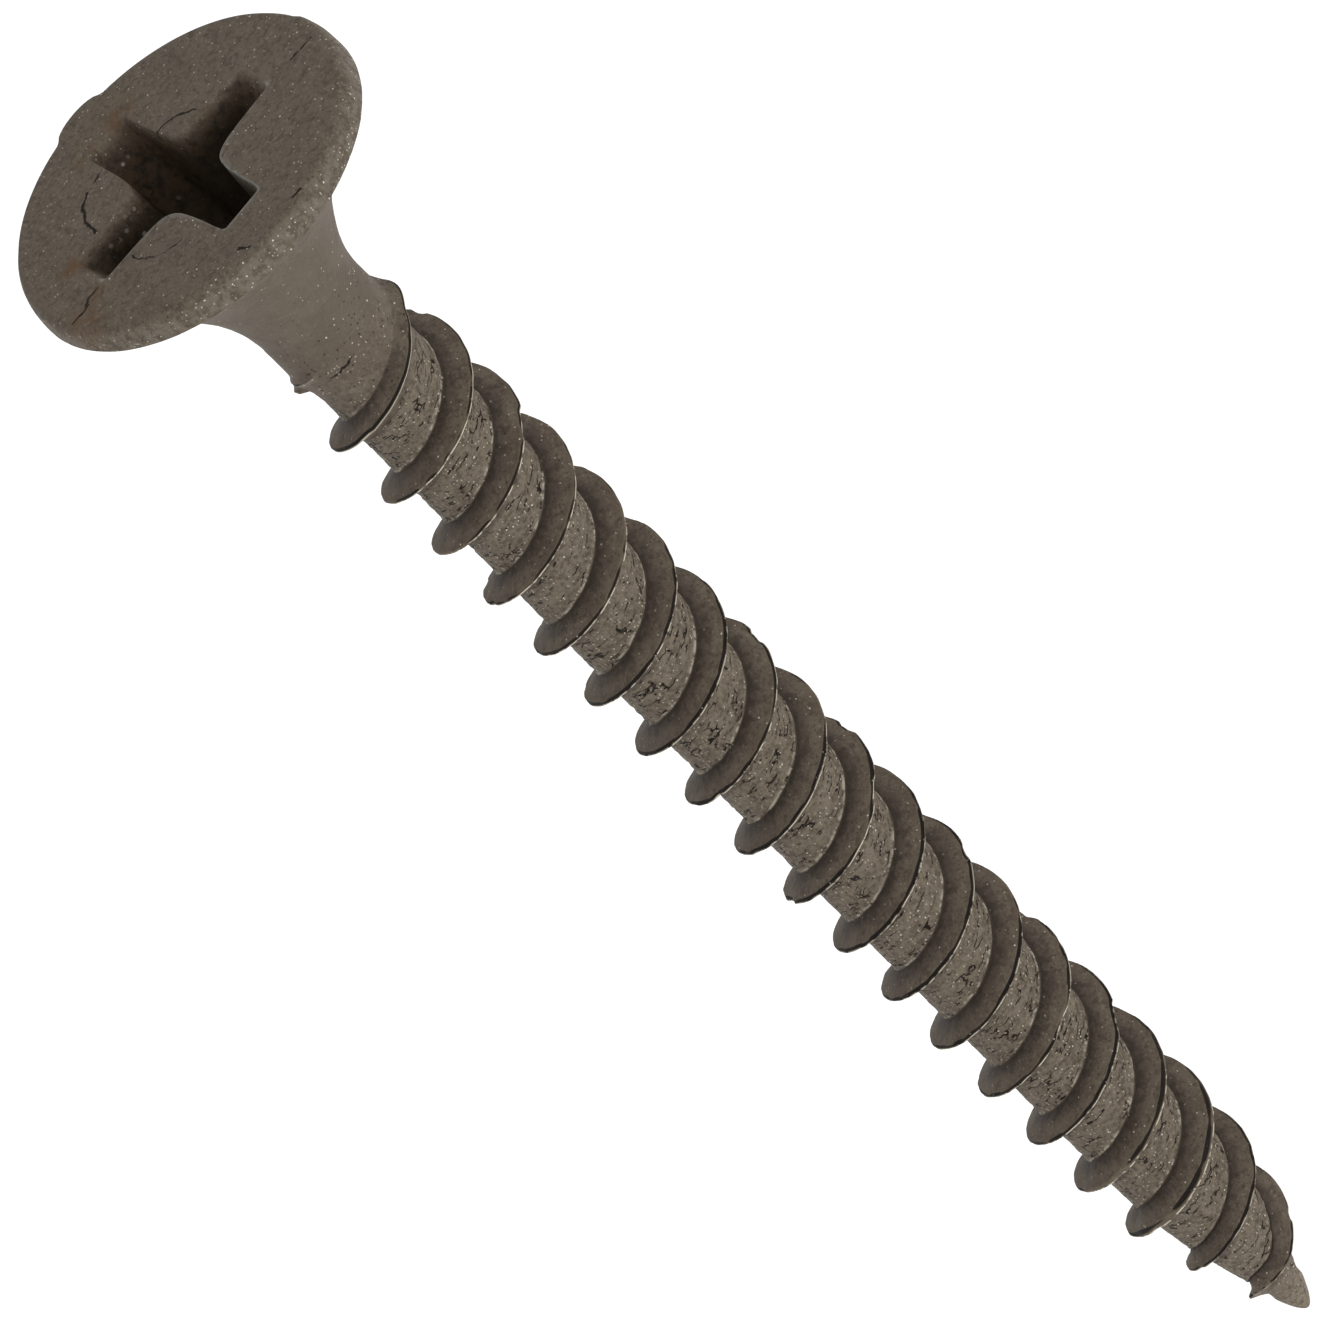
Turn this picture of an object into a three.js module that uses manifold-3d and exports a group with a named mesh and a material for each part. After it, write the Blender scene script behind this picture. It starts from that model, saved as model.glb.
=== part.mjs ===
// A countersunk wood screw: trumpet-shaped (bugle) head, cross recess, twin-start coarse thread and a sharp
// point. It is cold-formed from one length of wire, so the whole screw is one solid.
//
// Millimetres, +Z up. The origin is the centre of the head's flat face. The shank and the point run along -Z,
// and a depth is a distance below that face.
import * as THREE from "three";
import { mergeVertices } from "three/addons/utils/BufferGeometryUtils.js";
import Module from "manifold-3d";

// Whole screw
const LENGTH = 41; // face to point, No. 6 x 1 5/8 in
const SIDES = 16; // flats round the shank, and thread sections in one turn
const FULL_TURN = 2 * Math.PI;

// Head
const HEAD_DIAMETER = 8.1;
const RIM_ROUNDING = 0.155; // the flat face ends this far inside the rim
const RIM_HEIGHT = 0.604;
const BUGLE_LENGTH = 3.936; // from the rim down to the neck
const BUGLE_CURVE = 1.808; // exponent of the trumpet's sweep
const RIM_FLARE = 0.214; // share of the sweep that turns out sharply, just under the rim
const FLARE_CURVE = 2.5;

// Shank
const NECK_DIAMETER = 2.56; // plain wire under the head
const NECK_LENGTH = 0.72;
const ROOT_DIAMETER = 2.3; // between the threads
const NECK_TO_ROOT = 1.29; // length of the blend between the two
const POINT_LENGTH = 6.05;
const POINT_CURVE = 1.9; // 1 would be a straight cone, more is a fuller point

// Thread
const THREAD_DIAMETER = 3.446;
const STARTS = 2;
const LEAD = 3.57; // advance in one turn
const HEAD_FLANK = 0.33; // width of the tooth's flank on the head side
const POINT_FLANK = 0.361; // and on the point side
const CREST_LAND = 0.054;
const FLANK_CURVE = 1.355; // more than 1 hollows the flanks
const THREAD_SINK = 0.15; // how far the tooth is rooted in the core
const THREAD_BEGINS = 0.104; // below the top of the neck, still under the surface
const FIRST_START_ANGLE = FULL_TURN / 4;
const RUN_IN = 2.4; // length over which the tooth rises
const RUN_IN_DELAY = 0.2; // below where the thread begins
const THREAD_STOPS = 1; // short of the point
const RUN_OUT = 4; // length over which the tooth dies away
const RUN_OUT_CURVE = 0.35; // less than 1 keeps it tall nearly to its end
const HIDDEN_TOOTH = 0.1; // share of the tooth left at both ends, wholly inside the core

// Cross recess, for a No. 2 driver
const RECESS_SPAN = 5.2; // across opposite wings at the face
const WING_WIDTH = 1.1;
const RECESS_DEPTH = 2.7;
const WING_SLOPE = THREE.MathUtils.degToRad(28.5); // of a wing's outer end, from the axis
const WALL_SLOPE = THREE.MathUtils.degToRad(2); // of the wings' sides
const PILLAR_RADIUS = 0.6; // rounding between two wings
const PIT_RADIUS = 0.7; // of the cone in the middle of the floor
const PIT_DEPTH = 0.35;
const PIT_OVERLAP = 0.1;
const PIT_SIDES = 12;
const CUTTER_RISE = 0.5; // how far the cutter stands above the face

const headRadius = HEAD_DIAMETER / 2;
const neckRadius = NECK_DIAMETER / 2;
const rootRadius = ROOT_DIAMETER / 2;
const neckTop = RIM_HEIGHT + BUGLE_LENGTH;
const neckBottom = neckTop + NECK_LENGTH;
const rootTop = neckBottom + NECK_TO_ROOT;
const pointTop = LENGTH - POINT_LENGTH;
const toothHeight = (THREAD_DIAMETER - ROOT_DIAMETER) / 2;
const threadTop = neckTop + THREAD_BEGINS;
const threadBottom = LENGTH - THREAD_STOPS;

const wasm = await Module();
wasm.setup();

function clamp01(value) {
  return THREE.MathUtils.clamp(value, 0, 1);
}

// Radius of the screw without its thread, at a depth below the flat face.
function coreRadius(depth) {
  if (depth < RIM_HEIGHT) {
    const rise = 1 - depth / RIM_HEIGHT;
    return headRadius - RIM_ROUNDING * (1 - Math.sqrt(1 - rise * rise));
  }
  if (depth < neckTop) {
    const sweep = (neckTop - depth) / BUGLE_LENGTH;
    const flare = RIM_FLARE * sweep ** (BUGLE_CURVE * FLARE_CURVE);
    return neckRadius + (headRadius - neckRadius) * ((1 - RIM_FLARE) * sweep ** BUGLE_CURVE + flare);
  }
  if (depth < pointTop) {
    return THREE.MathUtils.mapLinear(THREE.MathUtils.smoothstep(depth, neckBottom, rootTop),
      0, 1, neckRadius, rootRadius);
  }
  return rootRadius * (1 - clamp01((depth - pointTop) / POINT_LENGTH) ** POINT_CURVE);
}

// Depths from one value to another in equal steps, without the last one.
function steps(from, to, count) {
  return Array.from({ length: count }, (_, i) => from + ((to - from) * i) / count);
}

function solid(geometry) {
  geometry.deleteAttribute("normal");
  geometry.deleteAttribute("uv");
  const merged = mergeVertices(geometry);
  const corners = merged.index.array;
  const triangles = [];
  for (let i = 0; i < corners.length; i += 3) {
    const [a, b, c] = corners.slice(i, i + 3);
    if (a !== b && b !== c && c !== a) {
      triangles.push(a, b, c);
    }
  }
  return new wasm.Manifold(new wasm.Mesh({
    numProp: 3,
    vertProperties: Float32Array.from(merged.attributes.position.array),
    triVerts: Uint32Array.from(triangles),
  }));
}

// Moves every corner of a geometry to where the function puts it.
function reshape(geometry, place) {
  const position = geometry.attributes.position;
  for (let i = 0; i < position.count; i++) {
    const moved = place(position.getX(i), position.getY(i), position.getZ(i));
    position.setXYZ(i, ...moved);
  }
  return geometry;
}

function makeCore() {
  const rim = steps(0, RIM_HEIGHT, 4);
  const bugle = steps(RIM_HEIGHT, neckTop, 9);
  const neck = [neckTop, ...steps(neckBottom, rootTop, 4), rootTop];
  const shank = steps(pointTop, LENGTH, 8);
  const depths = [...rim, ...bugle, ...neck, ...shank];
  const outline = depths.map((depth) => new THREE.Vector2(coreRadius(depth), -depth));
  const face = new THREE.Vector2(0, 0);
  const point = new THREE.Vector2(0, -LENGTH);
  const lathe = new THREE.LatheGeometry([face, ...outline, point].reverse(), SIDES);
  return solid(lathe.rotateX(Math.PI / 2).rotateZ(FIRST_START_ANGLE));
}

// The tooth cut across: x is height above the core, y runs up the screw from the middle of the crest.
// The lower half of each flank runs straight on into the core, so that it crosses the surface cleanly.
function toothSection() {
  const half = CREST_LAND / 2;
  const waist = toothHeight * 0.5 ** FLANK_CURVE;
  const foot = 1 + THREAD_SINK / (2 * waist);
  return new THREE.Shape([
    new THREE.Vector2(-THREAD_SINK, -half - POINT_FLANK * foot),
    new THREE.Vector2(waist, -half - POINT_FLANK / 2),
    new THREE.Vector2(toothHeight, -half),
    new THREE.Vector2(toothHeight, half),
    new THREE.Vector2(waist, half + HEAD_FLANK / 2),
    new THREE.Vector2(-THREAD_SINK, half + HEAD_FLANK * foot),
  ]);
}

// How much of the tooth stands at a depth: it rises out of the neck and dies away on the point.
function toothShare(depth) {
  const rise = THREE.MathUtils.smoothstep(depth, threadTop + RUN_IN_DELAY, threadTop + RUN_IN_DELAY + RUN_IN);
  const fall = clamp01((threadBottom - depth) / RUN_OUT) ** RUN_OUT_CURVE;
  return HIDDEN_TOOTH + (1 - HIDDEN_TOOTH) * rise * fall;
}

// One thread: the tooth extruded straight, one step for each side of the core, then wound round it.
// A right-hand thread turns clockwise as it goes down, seen from the head.
function makeThread(startAngle) {
  const count = Math.ceil(((threadBottom - threadTop) / LEAD) * SIDES);
  const turn = (count / SIDES) * FULL_TURN;
  const straight = new THREE.ExtrudeGeometry(toothSection(),
    { depth: turn, steps: count, bevelEnabled: false });
  return solid(reshape(straight, (height, up, angle) => {
    const crestDepth = threadTop + (LEAD * angle) / FULL_TURN;
    const depth = crestDepth - up;
    const rooted = (height + THREAD_SINK) * toothShare(crestDepth) - THREAD_SINK;
    const radius = coreRadius(depth) + rooted;
    const around = startAngle - angle;
    return [radius * Math.cos(around), radius * Math.sin(around), -depth];
  }));
}

// A quarter of the cross, from the end of one wing round the pillar to the next wing.
function recessSection() {
  const reach = RECESS_SPAN / 2;
  const half = WING_WIDTH / 2;
  const corner = half + PILLAR_RADIUS;
  const shape = new THREE.Shape();
  shape.moveTo(reach, -half);
  for (let wing = 0; wing < 4; wing++) {
    const angle = (wing * FULL_TURN) / 4;
    const turned = (x, y) => new THREE.Vector2(x, y).rotateAround(new THREE.Vector2(), angle);
    const end = turned(reach, half);
    const middle = turned(corner, corner);
    const next = turned(half, reach);
    shape.lineTo(end.x, end.y);
    shape.absarc(middle.x, middle.y, PILLAR_RADIUS,
      (wing - 1) * FULL_TURN / 4, (wing - 2) * FULL_TURN / 4, true);
    shape.lineTo(next.x, next.y);
  }
  return shape;
}

// Where a corner of the cross goes at a depth: the wings' ends draw in fast, their sides only a little.
function narrowed(size, depth) {
  const half = WING_WIDTH / 2;
  if (size > WING_WIDTH + PILLAR_RADIUS) {
    return size - depth * Math.tan(WING_SLOPE);
  }
  return size * (1 - (depth * Math.tan(WALL_SLOPE)) / half);
}

// The solid that is cut out of the head, with a pit like a drill's in the middle of its floor.
function makeRecess() {
  const straight = new THREE.ExtrudeGeometry(recessSection(),
    { depth: RECESS_DEPTH + CUTTER_RISE, steps: 1, bevelEnabled: false, curveSegments: 4 });
  const cross = solid(reshape(straight, (x, y, up) => {
    const depth = RECESS_DEPTH - up;
    return [Math.sign(x) * narrowed(Math.abs(x), depth), Math.sign(y) * narrowed(Math.abs(y), depth), -depth];
  }));
  const pit = new THREE.ConeGeometry(PIT_RADIUS, PIT_DEPTH + PIT_OVERLAP, PIT_SIDES);
  pit.rotateX(-Math.PI / 2).translate(0, 0, -RECESS_DEPTH - (PIT_DEPTH - PIT_OVERLAP) / 2);
  return cross.add(solid(pit));
}

let screw = makeCore();
for (let start = 0; start < STARTS; start++) {
  screw = screw.add(makeThread(FIRST_START_ANGLE + (start * FULL_TURN) / STARTS));
}
screw = screw.subtract(makeRecess());

const mesh = screw.getMesh();
const geometry = new THREE.BufferGeometry();
geometry.setAttribute("position", new THREE.BufferAttribute(mesh.vertProperties, mesh.numProp));
geometry.setIndex(new THREE.BufferAttribute(mesh.triVerts, 1));
geometry.computeVertexNormals();

const phosphatedSteel = new THREE.MeshStandardMaterial({ color: 0x5c534a, roughness: 0.62, metalness: 0.35 });
const body = new THREE.Mesh(geometry, phosphatedSteel);
body.name = "screw";

const part = new THREE.Group();
part.add(body);

export default part;
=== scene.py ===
"""A bugle-head wood screw in dark phosphated steel, modelled over its CAD frame.

The mesh is made in millimetres and brought to metres at the end. A depth is a distance below the head's
flat face, which lies at the origin. An angle goes round the axis from the +X side. The threads climb
towards the head as it grows: it is a right-hand screw.
"""

import math
from types import SimpleNamespace

import bmesh
import bpy
from mathutils import Matrix, Vector, noise


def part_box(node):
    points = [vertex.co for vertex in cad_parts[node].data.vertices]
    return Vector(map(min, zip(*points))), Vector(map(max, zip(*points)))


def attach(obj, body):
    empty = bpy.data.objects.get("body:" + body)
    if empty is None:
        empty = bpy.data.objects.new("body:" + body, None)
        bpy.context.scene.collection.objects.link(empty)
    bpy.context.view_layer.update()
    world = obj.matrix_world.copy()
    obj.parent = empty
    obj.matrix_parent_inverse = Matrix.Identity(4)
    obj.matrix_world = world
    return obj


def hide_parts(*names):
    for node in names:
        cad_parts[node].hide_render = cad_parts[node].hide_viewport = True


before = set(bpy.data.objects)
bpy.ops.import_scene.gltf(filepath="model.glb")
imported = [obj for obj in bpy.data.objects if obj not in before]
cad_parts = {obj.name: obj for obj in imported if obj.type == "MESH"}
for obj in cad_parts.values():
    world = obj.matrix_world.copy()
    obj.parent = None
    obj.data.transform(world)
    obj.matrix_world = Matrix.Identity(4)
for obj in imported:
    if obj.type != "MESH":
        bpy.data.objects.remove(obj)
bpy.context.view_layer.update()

MM = 0.001
TURN = 2 * math.pi

low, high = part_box("screw")
LENGTH = -low.z / MM
HEAD = high.x / MM  # radius of the head at its rim

# Head
RIM_ROUNDING = 0.155
RIM_HEIGHT = 0.604
BUGLE = 3.936  # length of the trumpet, from the rim down to the neck
BUGLE_CURVE = 1.808
BUGLE_SWELL = 0.05  # on its +X side
RIM_FLARE = 0.214
FLARE_CURVE = 2.5
HEAD_LEAN = math.radians(0.65)  # the head was struck a little out of line with the shank
BURR_ANGLE = TURN / 4  # flash squeezed out at the rim, in line with a wing
BURR_STAND = 0.24
BURR_HALF = 0.66
RIM_STEP = 0.045  # one stretch of the rim stands out this far

# Shank
NECK = 1.28  # radius of the plain wire
ROOT = 1.15  # radius between the threads
NECK_END = 5.26
ROOT_BEGINS = 6.55
POINT = 6.05  # length of the point
POINT_CURVE = 1.9
TIP = 0.4  # radius of the blunted tip before it rounds over
TIP_LENGTH = 0.8
TIP_CURVE = 0.6
TIP_END = LENGTH - 0.17
TIP_BEND = 0.05
TIP_BEND_BEGINS = 38.5

# Thread, with its widths as shares of the distance between crests
CREST = 1.723
LEAD = 3.57
SPACING = LEAD / 2
FIRST_CREST = 0.181  # depth at which a crest crosses the +X side
HEAD_FLANK = 0.165
POINT_FLANK = 0.202
LAND = 0.044
WIDER_LAND = 0.07  # what the land gains on two crests near the point
WIDER_LAND_DEPTH = 34.3
FLANK_CURVE = 1.355
RUN_IN = (4.95, 5.1, 7.24)  # the tooth starts with a small step, then grows
RUN_IN_LAG = 0.2  # how much lower it does so on the -X side
FIRST_STEP = 0.14
THREAD_END = (39.4, 40.1)  # one thread stops on the +X side, the other a little lower on the -X side
RUN_OUT = 5.0
RUN_OUT_CURVE = (0.2, 0.5)
LAST_TURN_DROP = 0.35
TORN_FROM = (5.8, 7.4)  # depths over which the roots turn from plain to torn
TORN_TO = (39.2, 39.9)  # and back
SEAM = 0.055  # depth of the crack that rolling leaves along the crest
LIP = 0.017  # how far the lip beside each root stands
GROOVE = 0.024  # and how deep the groove below it is
# torn ends of the threads: angle, depth, half width in radians and in millimetres, height
HOOKS = ((2.97, 5.85, 0.16, 0.14, 0.23), (-0.15, 5.85, 0.45, 0.55, 0.17), (2.9, 39.6, 0.2, 0.25, 0.15))

# Mesh
COLUMNS = 118
BLANK = 2.0  # radius of the plain spiral tube that the thread is shaped from
# rows across one thread: from and to, as shares of the spacing, and how many; close where it turns sharply
ROW_SPANS = ((-0.5, -0.212, 7), (-0.212, -0.142, 6), (-0.142, -0.036, 4),
             (-0.036, 0.034, 7), (0.034, 0.21, 3), (0.21, 0.5, 6))
NECK_CUT = 4.62  # the spiral tube runs from here
TIP_CUT = LENGTH - 0.5  # to here, and rings carry it on at both ends
COLLAR_RINGS = 8
COLLAR_STEP = 0.09
BUGLE_RINGS = 27
RIM_RINGS = 8
FACE_RINGS = 15
RECESS_RINGS = 18
TIP_RINGS = (0.26, 0.2, 0.15, 0.1, 0.06, 0.03, 0.01)  # distances from the end
# what the finish is told at each corner of the mesh, from 0 to 1
MARKS = ("root", "lip", "groove", "foot", "seam", "edge", "top", "brim", "recess")

# Cross recess
REACHES = (2.52, 2.74, 2.6, 2.62)  # of the wings along +X, +Y, -X and -Y
RECESS_HALF = 0.55
RECESS_SHIFT = -0.1
RECESS_DEPTH = 2.7
PILLAR_ROUNDING = 2.15  # lower is rounder
END_SHARPNESS = 24  # of the corners at the wings' ends, lower is rounder
WING_SLOPE = math.tan(math.radians(28.5))
WALL_SLOPE = math.tan(math.radians(2))
BRIM = 0.06  # width and depth of the rounding at its edge
# rings of that rounding: drop, distance out from the wall, share of the painted highlight on the brim
BRIM_RINGS = ((0.0, BRIM, 0.3), (0.008, 0.035, 1.0), (0.03, 0.012, 1.0), (BRIM, 0.0, 0.3))
PIT_RINGS = ((0.8, 0.06), (0.6, 0.16), (0.35, 0.28), (0.12, 0.38))  # share of the floor's width, drop
PIT_DEPTH = 0.42  # below the floor

# Camera, with its angles in degrees, lights and board; lengths in metres
CAMERA_AZIMUTH = -9.9
CAMERA_ELEVATION = 35.84
CAMERA_ROLL = 45.04
CAMERA_DISTANCE = 0.3664
CAMERA_LENS = 486.7
TARGET_DEPTH = 16.94 * MM  # it is aimed at this depth on the axis
TARGET_SHIFT = 0.026 * MM  # and this far to the left of it
LIGHT_DISTANCE = 0.5
LIGHT_SIZE = 0.3
KEY_POWER = 1.2
SIDE_POWER = 0.5
ROOM_LIGHT = 0.8
BOARD_HALF = 2.0
BOARD_GAP = 0.0005  # under the point
# the board glows beside the lamps, which washes out the screw's shadow on it and lights the screw from below
BOARD_GLOW = 0.35


def clamp(value, lowest=0.0, highest=1.0):
    return max(lowest, min(highest, value))


def smooth(value, start, end):
    """0 before the start, 1 after the end, and an easy curve between."""
    t = clamp((value - start) / (end - start))
    return t * t * (3 - 2 * t)


def bell(value, middle, half):
    """A soft hump of height 1."""
    return max(0.0, 1 - ((value - middle) / half) ** 2) ** 2


def ripple(x, y, z, size, seed=0.0):
    """Even noise between about -1 and 1, with bumps of a size in millimetres."""
    return noise.noise(Vector((x / size + seed, y / size - seed, z / size + 2 * seed)))


def around(angle, depth, radius, size, seed):
    """The same noise on a cylinder round the axis."""
    return ripple(radius * math.cos(angle), radius * math.sin(angle), depth, size, seed)


def drawn_ripple(angle, depth, size, seed):
    """Noise nearly four times as long along the thread as across it."""
    return around(angle + TURN * depth / LEAD, 0.75 * depth, 0.57, size, seed)


# ---------------------------------------------------------------- shape of the screw


def core_radius(depth):
    """The screw without its thread."""
    if depth < RIM_HEIGHT:
        rise = 1 - depth / RIM_HEIGHT
        return HEAD - RIM_ROUNDING * (1 - math.sqrt(max(0.0, 1 - rise * rise)))
    neck_top = RIM_HEIGHT + BUGLE
    if depth < neck_top:
        sweep = (neck_top - depth) / BUGLE
        flare = RIM_FLARE * sweep ** (BUGLE_CURVE * FLARE_CURVE)
        return NECK + (HEAD - NECK) * ((1 - RIM_FLARE) * sweep**BUGLE_CURVE + flare)
    if depth < LENGTH - POINT:
        return NECK + (ROOT - NECK) * smooth(depth, NECK_END, ROOT_BEGINS)
    cone = ROOT * (1 - clamp(1 - (LENGTH - depth) / POINT) ** POINT_CURVE)
    left = clamp((TIP_END - depth) / TIP_LENGTH)
    return max(cone, TIP) * left**TIP_CURVE


def rim_swell(angle, depth):
    """How far the rim stands out beyond its circle: the burr, and a low step along one stretch."""
    across = abs((angle - BURR_ANGLE) * HEAD)
    dome = math.sqrt(max(0.0, 1 - (across / BURR_HALF) ** 2))
    burr = BURR_STAND * dome * (1 - smooth(depth, 0.45, 1.1))
    stretch = smooth(angle, -1.2, -0.5) * (1 - smooth(angle, 0.08, 0.13))
    return burr + RIM_STEP * stretch * (1 - smooth(depth, 0.6, 1.6))


def crest_phase(depth, angle):
    """Distance to the nearest crest as a share of the crest spacing; negative is towards the head."""
    turns = (depth - FIRST_CREST) / SPACING + 2 * angle / TURN
    return (turns + 0.5) % 1 - 0.5


def extra_land(depth, phase, angle):
    """How much wider the crest's land is, as a share of the spacing."""
    at_near_side = depth - phase * SPACING + (2 * angle / TURN + 0.5) * SPACING
    faded = smooth(angle, -math.pi, 0.4 - math.pi) * (1 - smooth(angle, 1.2, 2.4))
    return WIDER_LAND * bell(at_near_side, WIDER_LAND_DEPTH, 2.0) * faded


def lowered(depth, angle):
    """The last turn of the thread runs out steeply, so its crest lies lower on the near side."""
    last_turn = smooth(depth, 37.4, 38.2) * (1 - smooth(depth, 38.9, 40.2))
    return LAST_TURN_DROP * bell(angle, -1.1, 1.5) * last_turn


def tooth(phase, land_start):
    """Height of the tooth, from 0 at the root to 1 on the crest."""
    if phase < land_start:
        return clamp(1 + (phase - land_start) / HEAD_FLANK) ** FLANK_CURVE
    return clamp(1 - (phase - LAND / 2) / POINT_FLANK) ** FLANK_CURVE


def between(pair, share):
    return pair[0] + (pair[1] - pair[0]) * share


def tooth_share(depth, phase, angle):
    """How much of the tooth stands, for the crest that this point belongs to."""
    crest_depth = depth - phase * SPACING
    left_side = (1 - math.cos(angle)) / 2
    start, stepped, full = (level + RUN_IN_LAG * left_side for level in RUN_IN)
    rise = FIRST_STEP * smooth(crest_depth, start, stepped)
    rise += (1 - FIRST_STEP) * smooth(crest_depth, stepped, full)
    left = clamp((between(THREAD_END, left_side) - crest_depth) / RUN_OUT)
    return rise * left ** between(RUN_OUT_CURVE, left_side)


def root_relief(angle, depth):
    """Rolling leaves the root torn and pitted."""
    torn = 0.018 * around(angle, depth, 1.2, 0.13, 1) + 0.012 * drawn_ripple(angle, depth, 0.2, 3)
    return torn - 0.03 * smooth(drawn_ripple(angle, depth, 0.15, 15), 0.36, 0.62)


def lip_and_groove(angle, depth, across):
    """A broken lip where the next flank begins, and a groove beside it, each from 0 to 1."""
    line = -0.188 + 0.007 * around(angle, depth, 1.3, 0.35, 25)
    unbroken = smooth(around(angle, depth, 1.3, 0.6, 21), -0.7, 0.0)
    return bell(across, line - 0.006, 0.026) * unbroken, bell(across, line + 0.024, 0.017)


def flank_waves(angle, depth):
    return 0.010 * around(angle, depth, 1.5, 0.8, 5) + 0.004 * around(angle, depth, 1.5, 0.25, 6)


def crest_wear(angle, depth):
    """The crest is a little ragged, with a dent here and there, and rougher on its last turn."""
    ragged = 0.016 * around(angle, depth, 1.7, 0.3, 7)
    dented = 0.06 * smooth(around(angle, depth, 1.7, 0.7, 9), 0.36, 0.6)
    return ragged - dented + 0.05 * around(angle, depth, 1.7, 0.16, 27) * smooth(depth, 38.2, 38.8)


def crest_crack(angle, depth):
    """How open the crack along the crest is: wide at the start of the thread, then here and there."""
    stretches = smooth(around(angle, depth, 1.7, 2.0, 11), -0.5, 0.0) * (0.35 + 0.65 * smooth(depth, 12, 18))
    stretches *= 0.35 + 0.65 * smooth(around(angle, depth, 1.7, 0.4, 12), -0.35, 0.05)
    return max(stretches, 1 - smooth(depth, 6.8, 8.0))


def torn_ends(angle, depth):
    return sum(stand * bell(angle, at, half) * bell(depth, level, wide)
               for at, level, half, wide, stand in HOOKS)


def thread_rows():
    """Where the rows of the mesh lie across one thread."""
    return [start + (end - start) * i / count for start, end, count in ROW_SPANS for i in range(count)]


# ---------------------------------------------------------------- mesh


class Skin:
    """The screw's surface: a spiral tube shaped into the thread, then carried on ring by ring."""

    def __init__(self):
        self.bm = bmesh.new()
        layer = self.bm.verts.layers.float
        self.layers = {name: layer.new(name) for name in MARKS}
        self.turn = layer.new("turn")  # angle round the axis, which each new ring takes from the one before

    def mark(self, v, **shares):
        for name, share in shares.items():
            v[self.layers[name]] = clamp(share)

    def spiral_blank(self):
        """A tube whose rows follow the thread, cut square at both ends."""
        bm = self.bm
        first = math.floor((NECK_CUT - FIRST_CREST) / SPACING)
        last = math.ceil((TIP_CUT + LEAD - FIRST_CREST) / SPACING) + 1
        depths = [FIRST_CREST + (k + u) * SPACING for k in range(first, last) for u in thread_rows()]
        line = [bm.verts.new((BLANK, 0, -depth)) for depth in depths]
        edges = [bm.edges.new(pair) for pair in zip(line, line[1:])]
        bmesh.ops.spin(bm, geom=line + edges, cent=(0, 0, 0), axis=(0, 0, 1), dvec=(0, 0, LEAD / COLUMNS),
                       angle=TURN, steps=COLUMNS, use_merge=False, use_duplicate=False)
        bmesh.ops.remove_doubles(bm, verts=bm.verts, dist=0.001)
        for depth, outward in ((NECK_CUT, 1), (TIP_CUT, -1)):
            bmesh.ops.bisect_plane(bm, geom=bm.verts[:] + bm.edges[:] + bm.faces[:], dist=1e-5,
                                   plane_co=(0, 0, -depth), plane_no=(0, 0, outward), clear_outer=True)
            self.tidy_cut(depth)

    def tidy_cut(self, depth):
        """Joins the corners that the cut made to the nearest column, so that the ring has one for each."""
        step = TURN / COLUMNS
        ring = [v for v in self.bm.verts if abs(v.co.z + depth) < 1e-4]
        at_column, off_column = {}, []
        for v in ring:
            place = math.atan2(v.co.y, v.co.x) / step
            if abs(place - round(place)) < 1e-3:
                at_column[round(place) % COLUMNS] = v
            else:
                off_column.append((v, round(place) % COLUMNS))
        bmesh.ops.weld_verts(self.bm, targetmap={v: at_column[column] for v, column in off_column})

    def open_edges(self, depth):
        edges = [e for e in self.bm.edges
                 if e.is_boundary and all(abs(v.co.z + depth) < 1e-4 for v in e.verts)]
        for v in {v for e in edges for v in e.verts}:
            v[self.turn] = math.atan2(v.co.y, v.co.x)
        return edges

    def shape_thread(self):
        for v in self.bm.verts:
            angle = math.atan2(v.co.y, v.co.x)
            depth = -v.co.z
            phase = crest_phase(depth, angle)
            # near the point the rows of the head-side flank move up to make room for the wider land
            wider = extra_land(depth, phase, angle)
            moved = wider * smooth(phase, -0.5, -0.26) * (1 - smooth(phase, -0.012, 0.010))
            phase -= moved
            depth -= moved * SPACING
            self.place_on_thread(v, angle, depth, phase, wider)

    def place_on_thread(self, v, angle, depth, phase, wider):
        land_start = -LAND / 2 - wider
        across = phase - land_start - LAND / 2  # like the phase, but from where the land begins
        height = tooth(phase, land_start)
        top = smooth(height, 0.55, 1.0)
        share = tooth_share(depth, phase, angle)
        stays_torn = 1 - smooth(depth, *TORN_TO)
        threaded = smooth(depth, *TORN_FROM) * stays_torn
        rough = (1 - smooth(height, 0.0, 0.03)) * threaded
        lip, groove = (line * threaded for line in lip_and_groove(angle, depth, across))
        seam = bell(phase, land_start + 0.012, 0.024) * crest_crack(angle, depth)

        sunk = lowered(depth, angle)
        radius = core_radius(depth + sunk) + (CREST - ROOT) * share * height ** (2 - share)
        radius += root_relief(angle, depth) * rough + flank_waves(angle, depth) * (1 - rough)
        radius += LIP * lip - GROOVE * groove + torn_ends(angle, depth)
        radius += share * (crest_wear(angle, depth) * top - SEAM * seam)
        swerve = 0.014 * share * top * around(angle, depth, 1.7, 0.5, 23)
        v.co = (radius * math.cos(angle), radius * math.sin(angle), -depth - swerve - sunk)

        first_step = bell(depth - phase * SPACING, 5.6, 0.25)
        # marks for the finish: painted shade at the feet of the flanks, a painted highlight on each crest's
        # point-side edge
        upper_foot_shade = smooth(across, -0.178, -0.163) * (1 - smooth(across, -0.15, -0.05))
        lower_foot_shade = bell(phase, 0.215, 0.085) * threaded
        self.mark(v, root=rough, lip=lip, groove=groove, seam=seam * max(share, first_step),
                  foot=upper_foot_shade * smooth(depth, 5.4, 6.4) * stays_torn + 0.7 * lower_foot_shade,
                  edge=share * smooth(phase, 0.004, 0.012) * (1 - smooth(phase, 0.03, 0.06)),
                  top=share * smooth(across, -0.07, 0.0) * (1 - smooth(phase, 0.018, 0.05)))

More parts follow.
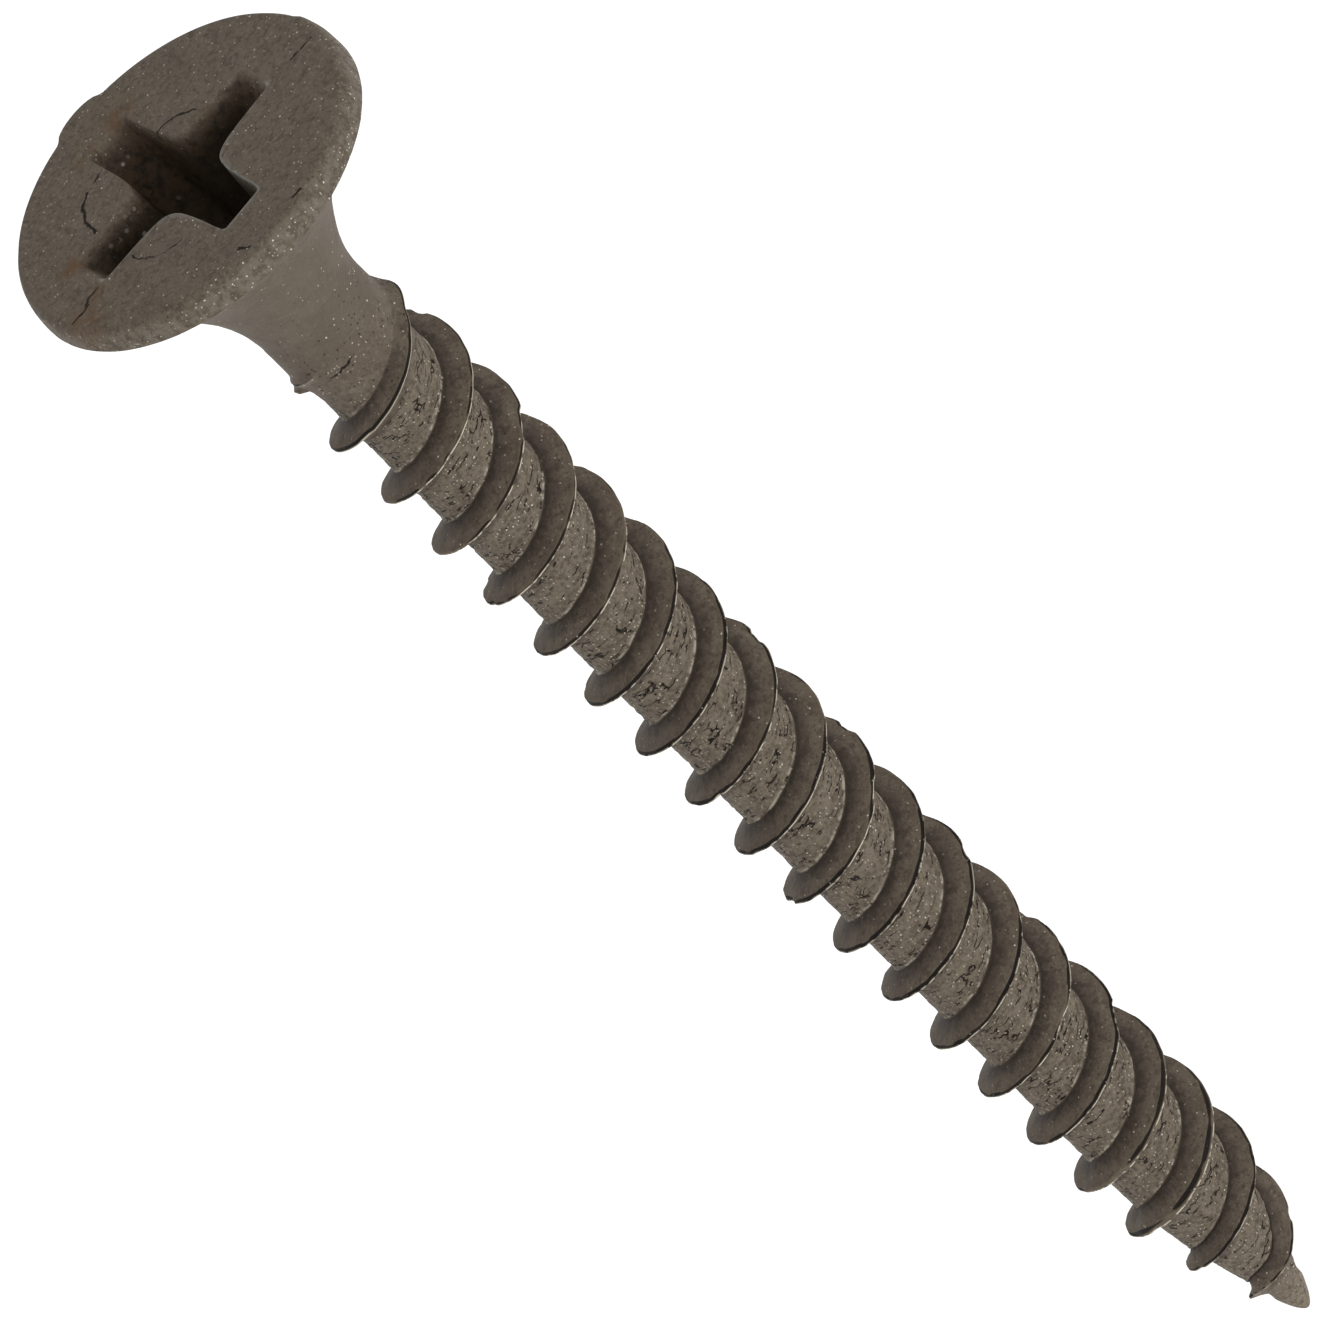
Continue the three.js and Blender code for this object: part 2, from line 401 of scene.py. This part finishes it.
    def carry_on(self, edges, place, **shares):
        """Adds a ring beyond an open edge; place gives each new corner from the angle round the axis."""
        made = bmesh.ops.extrude_edge_only(self.bm, edges=edges)["geom"]
        verts = {g for g in made if isinstance(g, bmesh.types.BMVert)}
        for v in verts:
            v.co = place(v[self.turn])
            self.mark(v, **shares)
        return [g for g in made if isinstance(g, bmesh.types.BMEdge) and verts.issuperset(g.verts)]

    def round_ring(self, edges, depth):
        def place(angle):
            r = core_radius(depth) + rim_swell(angle, depth)
            r += BUGLE_SWELL * bell(depth, 2.6, 2.0) * max(0.0, math.cos(angle))
            r += 0.010 * around(angle, depth, r, 0.6, 13) * clamp(depth / 0.3)
            r += 0.005 * around(angle, depth, r, 0.22, 14) * clamp(depth / 0.3)
            return (r * math.cos(angle), r * math.sin(angle), -depth)
        return self.carry_on(edges, place)

    def head(self):
        """The collar, then the bugle and the rim with twice as many columns."""
        edges = self.open_edges(NECK_CUT)
        for i in range(1, COLLAR_RINGS + 1):
            edges = self.round_ring(edges, NECK_CUT - COLLAR_STEP * i)
        bmesh.ops.subdivide_edges(self.bm, edges=edges, cuts=1)
        start = NECK_CUT - COLLAR_STEP * COLLAR_RINGS
        edges = self.open_edges(start)
        for i in range(1, BUGLE_RINGS + 1):
            edges = self.round_ring(edges, start + (RIM_HEIGHT - start) * (i / BUGLE_RINGS) ** 0.9)
        for i in range(1, RIM_RINGS + 1):
            edges = self.round_ring(edges, RIM_HEIGHT * math.cos(i / RIM_RINGS * math.pi / 2))
        return edges

    def face_and_recess(self, edges):
        for i in range(1, FACE_RINGS):
            edges = self.carry_on(edges, lambda a, s=i / FACE_RINGS: face_point(a, s))
        # the brim's rings carry the painted highlight on the recess's near edge
        for drop, widen, brim in BRIM_RINGS:
            edges = self.carry_on(edges, lambda a, d=drop, w=widen: recess_point(a, d, w), brim=brim)
        for i in range(1, RECESS_RINGS + 1):
            depth = BRIM + (RECESS_DEPTH - BRIM) * i / RECESS_RINGS
            # brown dirt with painted shade, taking over further down the recess
            dirt_and_shade_share = smooth(depth, -0.35, 0.7)
            edges = self.carry_on(edges, lambda a, d=depth: recess_point(a, d), recess=dirt_and_shade_share)
        for shrink, drop in PIT_RINGS:
            edges = self.carry_on(edges, lambda a, s=shrink, d=drop: floor_point(a, s, d), recess=1)
        ring = list({v for e in edges for v in e.verts})
        bmesh.ops.pointmerge(self.bm, verts=ring, merge_co=(RECESS_SHIFT, 0, -RECESS_DEPTH - PIT_DEPTH))

    def bend(self):
        """Leans the head over and bends the tip, each by a hair."""
        for v in self.bm.verts:
            above = NECK_CUT + v.co.z
            lean = math.sin(HEAD_LEAN * smooth(above, 0.0, 1.6))
            v.co.x, v.co.z = v.co.x + above * lean, v.co.z - v.co.x * lean
            v.co.x -= TIP_BEND * smooth(-v.co.z, TIP_BEND_BEGINS, LENGTH)

    def tip(self):
        edges = self.open_edges(TIP_CUT)
        for left in TIP_RINGS:
            edges = self.round_ring(edges, TIP_END - left)
        ring = list({v for e in edges for v in e.verts})
        bmesh.ops.pointmerge(self.bm, verts=ring, merge_co=(0, 0, -TIP_END))


def recess_radius(angle, depth):
    """Distance from the recess's middle to its wall: straight wings, rounded pillars between them."""
    wing = round(angle / (TURN / 4)) % 4
    reach = REACHES[wing] - depth * WING_SLOPE
    half = RECESS_HALF - depth * WALL_SLOPE
    turned = (angle + TURN / 8) % (TURN / 4) - TURN / 8  # from the middle of the nearest wing
    along, across = abs(math.cos(turned)), max(abs(math.sin(turned)), 1e-4)
    rounding = PILLAR_ROUNDING + 0.2 * math.sin(angle)  # the pillars on the +Y side are a little sharper
    side = ((half / across) ** rounding + (half / along) ** rounding) ** (1 / rounding)
    end = reach / along
    sharpness = END_SHARPNESS / (1 + 3 * clamp(depth / 1.2))  # less with depth
    return (side**-sharpness + end**-sharpness) ** (-1 / sharpness)


def recess_point(angle, depth, widen=0.0):
    r = recess_radius(angle, depth) + widen
    x, y = math.cos(angle), math.sin(angle)
    r += 0.014 * ripple(r * x, r * y, depth, 0.3, 17) * clamp(0.4 + depth / 0.2)
    return (RECESS_SHIFT + r * x, r * y, -depth)


def face_point(angle, share):
    """Between the rim, share 0, and the recess's edge, share 1."""
    x, y = math.cos(angle), math.sin(angle)
    rim = HEAD - RIM_ROUNDING + rim_swell(angle, 0.0)
    inner = recess_radius(angle, 0.0) + BRIM
    outer = Vector((rim * x, rim * y, 0))
    inside = Vector((RECESS_SHIFT + inner * x, inner * y, 0))
    point = outer.lerp(inside, share)
    point.z = 0.005 * ripple(point.x, point.y, 0, 0.9, 19)
    point.z += 0.004 * ripple(point.x, point.y, 0, 0.3, 20)
    return point


def floor_point(angle, share, drop):
    r = recess_radius(angle, RECESS_DEPTH) * share
    return (RECESS_SHIFT + r * math.cos(angle), r * math.sin(angle), -RECESS_DEPTH - drop)


def make_screw():
    skin = Skin()
    skin.spiral_blank()
    skin.shape_thread()
    skin.face_and_recess(skin.head())
    skin.tip()
    skin.bend()
    skin.bm.verts.layers.float.remove(skin.turn)
    bmesh.ops.recalc_face_normals(skin.bm, faces=skin.bm.faces)
    bmesh.ops.scale(skin.bm, verts=skin.bm.verts, vec=(MM, MM, MM))
    mesh = bpy.data.meshes.new("screw_skin")
    skin.bm.to_mesh(mesh)
    skin.bm.free()
    for polygon in mesh.polygons:
        polygon.use_smooth = True
    piece = bpy.data.objects.new("screw_skin", mesh)
    bpy.context.scene.collection.objects.link(piece)
    return piece


# ---------------------------------------------------------------- finishes


class Value:
    """A number or vector that a shader works out. Arithmetic on it adds Math nodes."""

    def __init__(self, finish, socket):
        self.finish = finish
        self.socket = socket

    def math(self, operation, *others):
        return self.finish.node("ShaderNodeMath", {"operation": operation}, dict(enumerate((self, *others))))

    def __add__(self, other):
        return self.math("ADD", other)

    def __sub__(self, other):
        return self.math("SUBTRACT", other)

    def __mul__(self, other):
        return self.math("MULTIPLY", other)

    def __rsub__(self, other):
        return self.finish.number(other).math("SUBTRACT", self)

    __radd__ = __add__
    __rmul__ = __mul__

    def smooth(self, start, end):
        """0 at the start, 1 at the end; the start may be the larger."""
        return self.finish.node("ShaderNodeMapRange", {"interpolation_type": "SMOOTHSTEP"},
                                {0: self, 1: start, 2: end, 3: 0.0, 4: 1.0})


class Finish:
    """A procedural material."""

    def __init__(self, name):
        self.material = bpy.data.materials.new(name)
        self.material.use_nodes = True
        self.tree = self.material.node_tree
        self.tree.nodes.clear()

    def node(self, kind, settings=None, inputs=None, output=0):
        node = self.tree.nodes.new(kind)
        for name, value in (settings or {}).items():
            setattr(node, name, value)
        for key, value in (inputs or {}).items():
            if isinstance(value, Value):
                self.tree.links.new(value.socket, node.inputs[key])
            else:
                node.inputs[key].default_value = value
        return Value(self, node.outputs[output]) if len(node.outputs) else node

    def number(self, value):
        return self.node("ShaderNodeMath", {"operation": "ADD"}, {0: value, 1: 0.0})

    def mix(self, below, above, share):
        return self.node("ShaderNodeMix", {"data_type": "RGBA"}, {0: share, 6: below, 7: above}, output=2)

    def place(self):
        """The point on the surface, in millimetres."""
        metres = self.node("ShaderNodeTexCoord", output=3)
        return self.node("ShaderNodeVectorMath", {"operation": "SCALE"}, {0: metres, 3: 1 / MM})

    def stretched(self, place, x, y, z):
        return self.node("ShaderNodeVectorMath", {"operation": "MULTIPLY"}, {0: place, 1: (x, y, z)})

    def grain(self, place, scale, detail=3.0, roughness=0.55):
        return self.node("ShaderNodeTexNoise", None,
                         {0: place, "Scale": scale, "Detail": detail, "Roughness": roughness})

    def axis(self, vector, index):
        return self.node("ShaderNodeSeparateXYZ", None, {0: vector}, output=index)

    def vector(self, operation, first, second, output=0):
        return self.node("ShaderNodeVectorMath", {"operation": operation}, {0: first, 1: second}, output)

    def length(self, vector):
        return self.node("ShaderNodeVectorMath", {"operation": "LENGTH"}, {0: vector}, output=1)

    def specks(self, place, scale, radius, share):
        """Round spots in a share of the cells; the radius is in cells."""
        cells = {0: place, "Scale": scale}
        spot = self.node("ShaderNodeTexVoronoi", None, cells).smooth(radius, radius * 0.4)
        tint = self.node("ShaderNodeTexVoronoi", None, cells, output=1)
        chosen = (self.node("ShaderNodeSeparateColor", None, {0: tint}) + share).smooth(0.99, 1.01)
        return spot * chosen

    def hairlines(self, place, scale, width):
        """A net of thin lines between cells."""
        edges = self.node("ShaderNodeTexVoronoi", {"feature": "DISTANCE_TO_EDGE"},
                          {0: place, "Scale": scale})
        return edges.smooth(width, width * 0.3)

    def attribute(self, name):
        return self.node("ShaderNodeAttribute", {"attribute_name": name}, output=2)

    def surface(self, colour, roughness, bump, distance):
        relief = self.node("ShaderNodeBump", None, {"Height": bump, "Strength": 1.0, "Distance": distance})
        shader = self.node("ShaderNodeBsdfPrincipled", None,
                           {"Base Color": colour, "Roughness": roughness, "Normal": relief,
                            "Metallic": 0.0, "Specular IOR Level": 0.15})
        self.node("ShaderNodeOutputMaterial", None, {"Surface": shader})
        return self.material


def most(first, *others):
    """The largest of several values."""
    for other in others:
        first = first.math("MAXIMUM", other)
    return first


def srgb(red, green, blue):
    """A colour given as it looks on a screen, 0 to 255, as the linear colour that a shader takes."""
    def linear(channel):
        c = channel / 255
        return c / 12.92 if c <= 0.04045 else ((c + 0.055) / 1.055) ** 2.4
    return (linear(red), linear(green), linear(blue), 1.0)


def arc_crack(f, flat, middle, radius, start, end, width):
    """A hairline crack on the head's face, along part of a circle. The angles are in degrees."""
    centred = f.vector("SUBTRACT", flat, (*middle, 0))
    off_line = (f.length(centred) - radius).math("ABSOLUTE")
    halfway = math.radians((start + end) / 2)
    aim = (math.cos(halfway), math.sin(halfway), 0)
    pointing = f.node("ShaderNodeVectorMath", {"operation": "NORMALIZE"}, {0: centred})
    heading = f.vector("DOT_PRODUCT", pointing, aim, output=1)
    reach = math.cos(math.radians(end - start) / 2)
    return off_line.smooth(width, width * 0.5) * heading.smooth(reach - 0.01, reach + 0.01)


def straight_crack(f, flat, start, end, width):
    """A hairline crack on the head's face, from one point to another."""
    start, end = Vector((*start, 0)), Vector((*end, 0))
    along = (end - start).normalized()
    centred = f.vector("SUBTRACT", flat, tuple((start + end) / 2))
    beside = f.vector("DOT_PRODUCT", centred, (-along.y, along.x, 0), output=1).math("ABSOLUTE")
    ahead = f.vector("DOT_PRODUCT", centred, tuple(along), output=1).math("ABSOLUTE")
    half = (end - start).length / 2
    return beside.smooth(width, width * 0.6) * ahead.smooth(half, half * 0.9)


def face_cracks(f, place):
    """The splits that cold heading left round the recess."""
    wander = f.node("ShaderNodeTexNoise", None, {0: place, "Scale": 4.0, "Detail": 4.0}, output=1)
    wander = f.stretched(f.vector("SUBTRACT", wander, (0.5, 0.5, 0.5)), 0.22, 0.22, 0.0)
    flat = f.stretched(f.vector("ADD", place, wander), 1, 1, 0)
    broken = f.grain(place, 3.0, 2.0)
    cracks = [arc_crack(f, flat, (-0.63, 0.85), 1.23, 118, 184, 0.046),
              arc_crack(f, flat, (-0.63, 0.85), 1.2, 96, 116, 0.03) * broken.smooth(0.42, 0.5),
              arc_crack(f, flat, (0.49, 0.57), 0.86, 18, 88, 0.03),
              arc_crack(f, flat, (-1.0, -0.8), 0.95, 176, 262, 0.024) * broken.smooth(0.36, 0.5),
              straight_crack(f, flat, (-2.8, -0.49), (-3.3, -0.62), 0.042),
              straight_crack(f, flat, (-3.22, -0.66), (-3.78, -0.72), 0.046),
              straight_crack(f, flat, (3.1, -0.56), (3.75, -0.62), 0.03) * broken.smooth(0.45, 0.52),
              straight_crack(f, flat, (-0.82, -3.45), (-0.6, -3.72), 0.035),
              straight_crack(f, flat, (0.62, -3.72), (0.9, -3.8), 0.05)]
    return most(*cracks) * f.axis(place, 2).smooth(-0.35, -0.15)


def collar_step_shadow(f, s):
    """A painted shadow along the edge of the thread's first step, across the near side of the collar: how
    far off that dark line is, and how strong it is there.
    """
    x, y = f.axis(s.place, 0), f.axis(s.place, 1)
    along = s.depth + x * 0.36 + f.grain(s.place, 5.0, 2.0) * 0.16  # the painted shadow line slants and wanders
    away = (along - 5.246).math("ABSOLUTE")
    return away, x.smooth(-1.0, -0.8) * x.smooth(-0.25, -0.45) * y.smooth(-0.3, -0.6)


def rust(f, place):
    """Brown stains at the ends of the wings and at one side of the rim."""
    patchy = f.grain(place, 2.4, 4.0, 0.6)
    stains = 0
    for x, y, size, strength in ((0.5, 2.85, 0.7, 1.0), (-0.6, 2.9, 0.5, 0.8), (-2.75, 0.62, 0.5, 1.0),
                                 (-3.6, -1.0, 0.9, 0.7), (-2.95, -0.6, 0.35, 0.8), (1.3, 0.5, 0.4, 0.5),
                                 (-0.5, 0.9, 0.5, 0.5)):
        away = f.length(f.vector("SUBTRACT", place, (x, y, 0)))
        stains = stains + away.smooth(size, 0.0) * strength
    return stains * patchy.smooth(0.34, 0.56)


def survey(f):
    """What the steel's finish goes by: the place, the mesh's marks, a few zones and the common noises."""
    s = SimpleNamespace(**{name: f.attribute(name) for name in MARKS})
    s.place = f.place()
    s.depth = 0 - f.axis(s.place, 2)
    wound = f.node("ShaderNodeVectorRotate", {"rotation_type": "Z_AXIS"},
                   {"Vector": s.place, "Angle": s.depth * (TURN / LEAD)})
    s.drawn = f.stretched(wound, 0.44, 0.44, 0.75)  # nearly four times as long along the thread as across
    s.bare = 1 - s.recess
    s.rim = s.depth.smooth(-0.05, 0.25) * s.depth.smooth(1.5, 0.7) * s.bare
    s.neck = s.depth.smooth(0.9, 2.4) * s.depth.smooth(6.2, 4.6)
    s.near_point = s.depth.smooth(35.5, 37.5)
    s.mottle = f.grain(s.place, 5.0, 3.0, 0.6)
    s.grain = f.grain(s.place, 14.0, 3.0, 0.6)
    s.torn = f.grain(s.drawn, 6.0, 3.0, 0.6) * 0.3 + f.grain(s.place, 10.0, 4.0, 0.7) * 0.7
    return s


def coating(f, s):
    """Dark brown-grey, clouded and mottled, and smoother on the neck."""
    clouds = f.grain(s.place, 1.3, 3.0, 0.5)
    colour = f.mix(srgb(92, 81, 71), srgb(104, 94, 82), clouds.smooth(0.35, 0.65))
    colour = f.mix(colour, srgb(94, 85, 73), s.depth.smooth(4.2, 0.8) * 0.6)
    colour = f.mix(colour, srgb(88, 80, 71), s.neck * 0.5)
    colour = f.mix(colour, srgb(78, 69, 60), s.mottle.smooth(0.52, 0.32) * (0.8 - s.neck * 0.5))
    colour = f.mix(colour, srgb(62, 54, 46), s.grain.smooth(0.48, 0.28) * (0.75 - s.neck * 0.5))
    return f.mix(colour, srgb(134, 125, 111), s.grain.smooth(0.56, 0.74) * (0.6 - s.neck * 0.3))


def thread_tints(f, s, colour):
    """Torn roots, the pale point, painted shade at the feet of the flanks and the browner tops."""
    torn_root = f.mix(srgb(78, 69, 59), srgb(114, 104, 91), s.torn.smooth(0.36, 0.60))
    colour = f.mix(colour, torn_root, s.root * 0.9)
    pale = s.depth.smooth(39.2, 40.0) * (0.05 + s.grain.smooth(0.35, 0.62) * 0.7)
    colour = f.mix(colour, srgb(130, 120, 105), pale)
    # painted shade at the feet of the flanks
    colour = f.mix(colour, srgb(56, 48, 42), s.foot * (0.7 + 0.3 * s.mottle.smooth(0.6, 0.4)))
    return f.mix(colour, srgb(84, 73, 58), s.top * (1 - s.edge) * 0.5)


def pits_cracks_and_shade(f, s, step_shadow):
    """Where the finish is darkest, from 0 to 1: pits, hair cracks, specks, splits, and painted shade in the
    grooves, the seam and along the collar's step.
    """
    near_lip = most(s.root * f.grain(s.place, 1.6, 2.0).smooth(0.42, 0.58), s.lip * 0.5)
    wander = f.node("ShaderNodeTexNoise", None, {0: s.place, "Scale": 5.0, "Detail": 2.0}, output=1)
    bent = f.vector("ADD", s.drawn, f.stretched(wander, 0.16, 0.16, 0.16))
    pits = f.specks(bent, 8.5, 0.36, 0.42) * near_lip
    hairs = f.hairlines(bent, 4.2, 0.06) * f.grain(s.place, 2.8, 2.0).smooth(0.51, 0.58) * s.root
    collar = s.depth.smooth(3.6, 4.8) * s.depth.smooth(7.4, 6.0)
    strength = (0.35 + s.root * 0.6 + collar * 0.3) * s.bare
    specks = f.specks(s.place, 9.0, 0.3, 0.1 + collar * 0.2) * strength
    # painted shade in the groove below each lip
    groove_shade = s.groove * s.mottle.smooth(0.38, 0.52) * (0.5 + s.near_point * 0.5)
    # the seam is painted as shade too
    return most(pits, hairs, specks, groove_shade, face_cracks(f, s.place), step_shadow, s.seam.smooth(0.04, 0.25))


def crystal_glints(f, s, beside_step_shadow):
    """Painted glints: bright specks, most of them on the rim, in the roots, on the edges and beside the
    collar's step shadow.
    """
    glinting = s.rim * 0.18 + s.root * 0.2 + s.edge * 0.4 + beside_step_shadow * 0.4
    sparkle = f.specks(s.place, 7.0, 0.2, 0.05 + glinting)
    fine = f.specks(s.place, 14.0, 0.36, 0.04 + glinting)
    return most(sparkle, fine * 0.6) * (1 - s.foot * 0.7)


def rim_wear_and_highlights(f, s, colour, speck_glints):
    """What is light: worn mottle on the rim, then painted highlights on the glints, the threads' lips and
    edges and the recess's near edge.
    """
    colour = f.mix(colour, srgb(124, 119, 110), s.rim * s.mottle.smooth(0.42, 0.62) * 0.3)
    colour = f.mix(colour, srgb(210, 203, 188), speck_glints * 0.9)
    broken = f.grain(s.place, 8.0).smooth(0.40, 0.54) * f.grain(s.place, 2.5).smooth(0.42, 0.54)
    # painted highlight along the broken lip of each root
    lip_glint = s.lip * broken * (1 - s.near_point * 0.8) * (1 - s.groove) * 0.8
    colour = f.mix(colour, srgb(178, 170, 154), lip_glint)
    # painted highlight on the point-side edge of each crest, broken in places
    edge_highlight = most(f.grain(s.place, 4.5, 3.0).smooth(0.43, 0.55), s.depth.smooth(8.4, 7.6) * 0.9)
    colour = f.mix(colour, srgb(198, 189, 170), s.edge * edge_highlight * (1 - s.seam.smooth(0.3, 0.7)))
    # painted highlight on the near edge of the recess
    highlight_side = f.axis(s.place, 1).smooth(-0.3, -0.5)
    return f.mix(colour, srgb(138, 140, 136), s.brim * highlight_side * s.mottle.smooth(0.3, 0.5) * 0.8)


def rust_dirt_and_shade(f, s, colour):
    """Rust, then the recess's brown dirt with painted shade, darker deeper down and lighter at its edge and
    in the far wing, then a few painted glints.
    """
    x, y = f.axis(s.place, 0), f.axis(s.place, 1)
    stains = rust(f, s.place) * s.depth.smooth(1.6, 0.5) * 0.75
    far_rim = y.smooth(2.6, 3.9) * s.depth.smooth(0.03, 0.12) * s.depth.smooth(0.9, 0.5)
    colour = f.mix(colour, srgb(88, 60, 32), most(stains, far_rim * s.mottle.smooth(0.3, 0.6) * 0.6))
    # less painted shade near the recess's edge and in its far wing
    less_shaded_dirt = most(s.depth.smooth(1.1, 0.0), y.smooth(-0.4, 2.4) * 0.8) * s.mottle.smooth(0.3, 0.6)
    dirt_and_shade = f.mix(srgb(32, 24, 16), srgb(74, 56, 38), less_shaded_dirt)
    colour = f.mix(colour, dirt_and_shade, s.recess * 0.88)
    glints = f.specks(s.place, 5.0, 0.36, 0.42) * s.recess * y.smooth(0.2, 0.9) * x.smooth(0.1, -0.3)
    return f.mix(colour, srgb(178, 174, 164), glints * 0.8)


def phosphated_steel():
    """Phosphate: matt, fine-grained, rough and pitted between the threads."""
    f = Finish("phosphated_steel")
    s = survey(f)
    step_shadow_away, step_shadow_strength = collar_step_shadow(f, s)
    dark = pits_cracks_and_shade(f, s, step_shadow_away.smooth(0.032, 0.012) * step_shadow_strength)
    speck_glints = crystal_glints(f, s, step_shadow_away.smooth(0.3, 0.1) * step_shadow_strength)
    colour = thread_tints(f, s, coating(f, s))
    # pits and cracks, and painted shade in the grooves, the seam and along the collar's step
    colour = f.mix(colour, srgb(20, 15, 11), dark)
    colour = rim_wear_and_highlights(f, s, colour, speck_glints)
    colour = rust_dirt_and_shade(f, s, colour)
    roughness = s.grain.smooth(0.2, 0.8) * 0.2 + 0.58
    bump = s.grain * (0.5 - s.neck * 0.25) + s.root * s.torn - dark * 0.9 + speck_glints * 0.6
    return f.surface(colour, roughness, bump, distance=0.02 * MM)


def white_board():
    f = Finish("white_board")
    speckle = f.grain(f.place(), 0.02, 2.0)
    colour = f.mix(srgb(246, 246, 245), srgb(252, 252, 252), speckle)
    shader = f.node("ShaderNodeBsdfPrincipled", None,
                    {"Base Color": colour, "Roughness": 0.9, "Emission Color": (1.0, 1.0, 1.0, 1.0),
                     "Emission Strength": BOARD_GLOW})
    f.node("ShaderNodeOutputMaterial", None, {"Surface": shader})
    return f.material


# ---------------------------------------------------------------- scene


def make_floor():
    bm = bmesh.new()
    bmesh.ops.create_grid(bm, x_segments=1, y_segments=1, size=BOARD_HALF)
    bmesh.ops.translate(bm, verts=bm.verts, vec=(0, 0, low.z - BOARD_GAP))
    mesh = bpy.data.meshes.new("floor")
    bm.to_mesh(mesh)
    bm.free()
    mesh.materials.append(white_board())
    floor = bpy.data.objects.new("floor", mesh)
    bpy.context.scene.collection.objects.link(floor)


def camera_axes():
    """Directions to the camera's right, up and back, before it is rolled."""
    a, e = math.radians(CAMERA_AZIMUTH), math.radians(CAMERA_ELEVATION)
    back = Vector((math.sin(a) * math.cos(e), -math.cos(a) * math.cos(e), math.sin(e)))
    right = Vector((math.cos(a), math.sin(a), 0))
    return right, back.cross(right), back


def make_camera():
    right, up, back = camera_axes()
    target = Vector((0, 0, -TARGET_DEPTH)) - right * TARGET_SHIFT
    r = math.radians(CAMERA_ROLL)
    image_right = right * math.cos(r) - up * math.sin(r)
    image_up = right * math.sin(r) + up * math.cos(r)
    data = bpy.data.cameras.new("camera")
    data.sensor_width = 36
    data.lens = CAMERA_LENS
    data.clip_start, data.clip_end = 0.01, 20
    camera = bpy.data.objects.new("camera", data)
    columns = (image_right, image_up, back, target + back * CAMERA_DISTANCE)
    camera.matrix_world = Matrix([[c[i] for c in columns] for i in range(3)] + [[0, 0, 0, 1]])
    bpy.context.scene.collection.objects.link(camera)
    bpy.context.scene.camera = camera
    return image_right, image_up, back


def soft_box(name, direction, power):
    data = bpy.data.lights.new(name, "AREA")
    data.shape = "DISK"
    data.size = LIGHT_SIZE
    data.energy = power
    light = bpy.data.objects.new(name, data)
    middle = Vector((0, 0, low.z / 2))
    light.location = middle + direction.normalized() * LIGHT_DISTANCE
    light.rotation_euler = direction.to_track_quat("Z", "Y").to_euler()
    bpy.context.scene.collection.objects.link(light)


def light_studio(image_right, image_up, back):
    world = bpy.data.worlds.new("white_room")
    world.use_nodes = True
    world.node_tree.nodes["Background"].inputs[0].default_value = (1, 1, 1, 1)
    world.node_tree.nodes["Background"].inputs[1].default_value = ROOM_LIGHT
    bpy.context.scene.world = world
    axis_down = Vector((0, 0, -1))
    soft_box("key", back * 0.6 + axis_down * 0.5 + image_up * 0.3, KEY_POWER)
    soft_box("side", image_right * 0.9 + back * 0.2, SIDE_POWER)


bpy.context.scene.view_settings.view_transform = "Standard"
screw = make_screw()
screw.data.materials.append(phosphated_steel())
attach(screw, "root")
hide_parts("screw")
make_floor()
light_studio(*make_camera())
